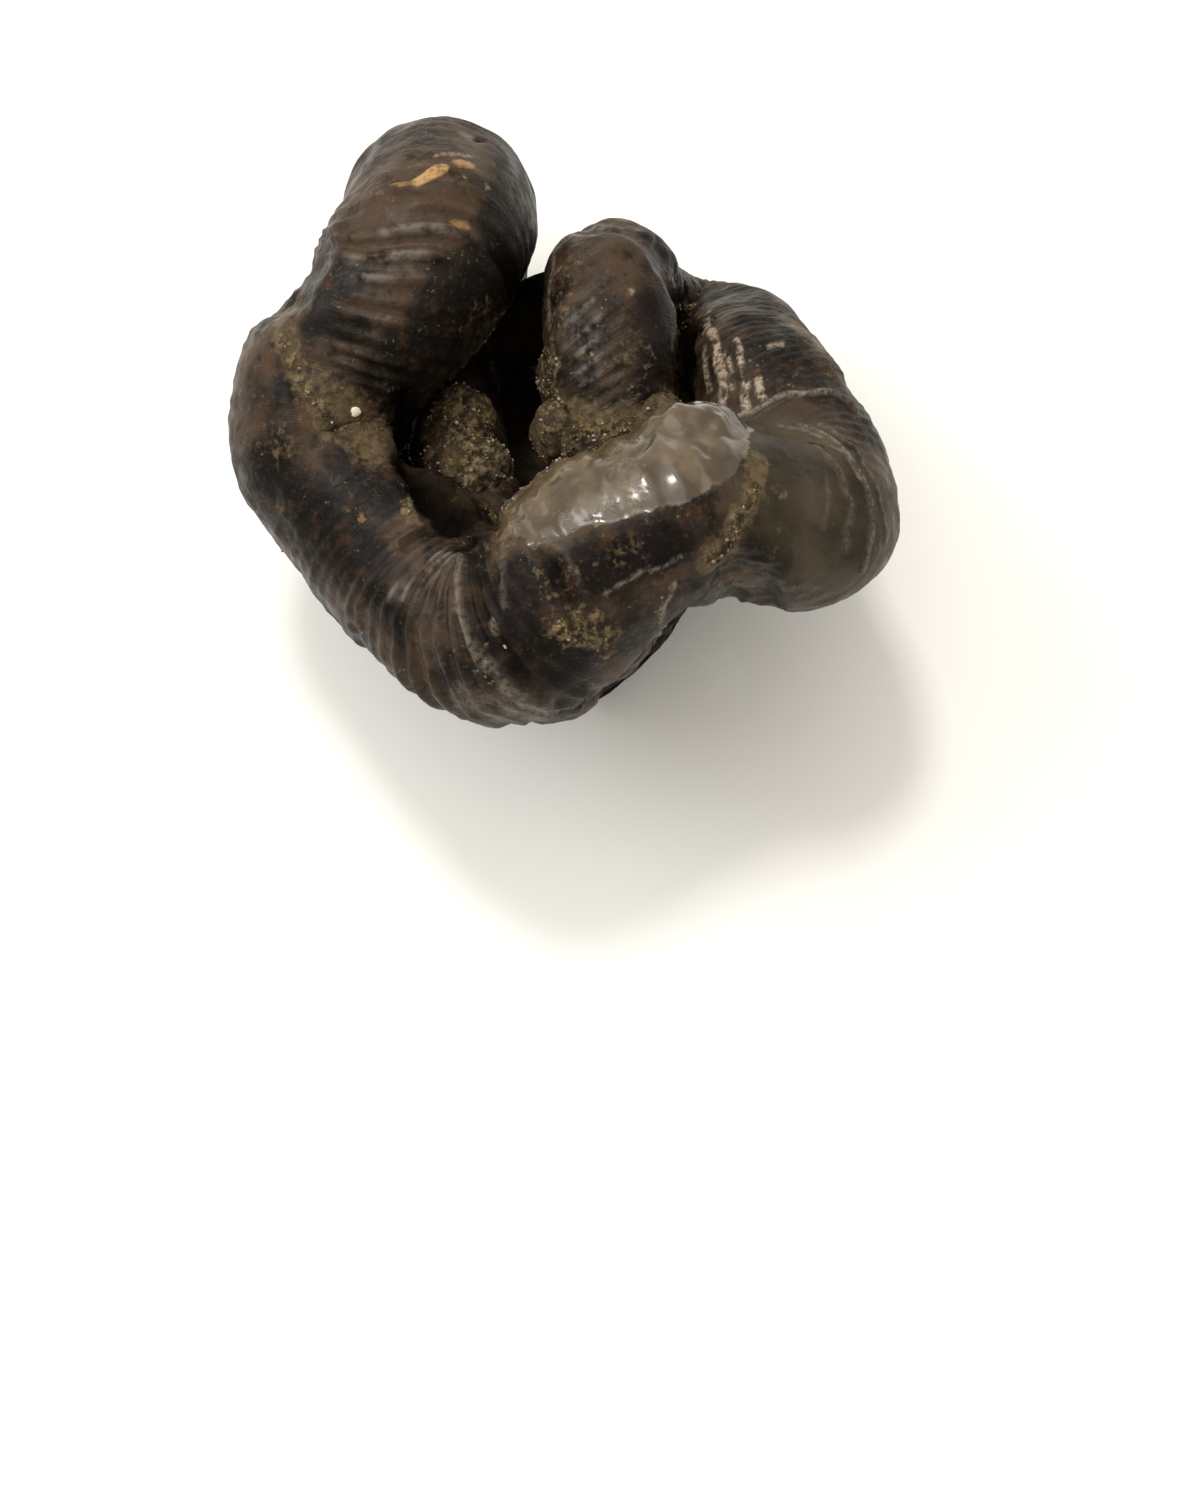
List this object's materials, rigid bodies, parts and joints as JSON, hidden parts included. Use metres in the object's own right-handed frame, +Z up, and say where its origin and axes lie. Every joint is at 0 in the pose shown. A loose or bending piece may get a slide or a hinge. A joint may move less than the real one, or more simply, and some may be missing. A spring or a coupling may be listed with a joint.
{
  "type": "heteromorph ammonite",
  "caption": "Fossil ammonite whose ribbed tube winds in tight bends round its own early coil; a display specimen that lies on its last limb.",
  "frame": {"origin": "on the ground, under the middle of the fossil's outline", "axes": "+Z up from the surface it lies on; +X to the right and +Y away, seen from the front with the side that shows most facing up"},
  "size_m": [0.069, 0.0702, 0.0531],
  "materials": {
    "shell": "dark umber fossil shell and olive-brown stone mould, satin, with fine ribs",
    "matrix": "rough khaki to golden-brown rock crust"
  },
  "bodies": {
    "root": {"shell": "shell"}
  },
  "joints": []
}
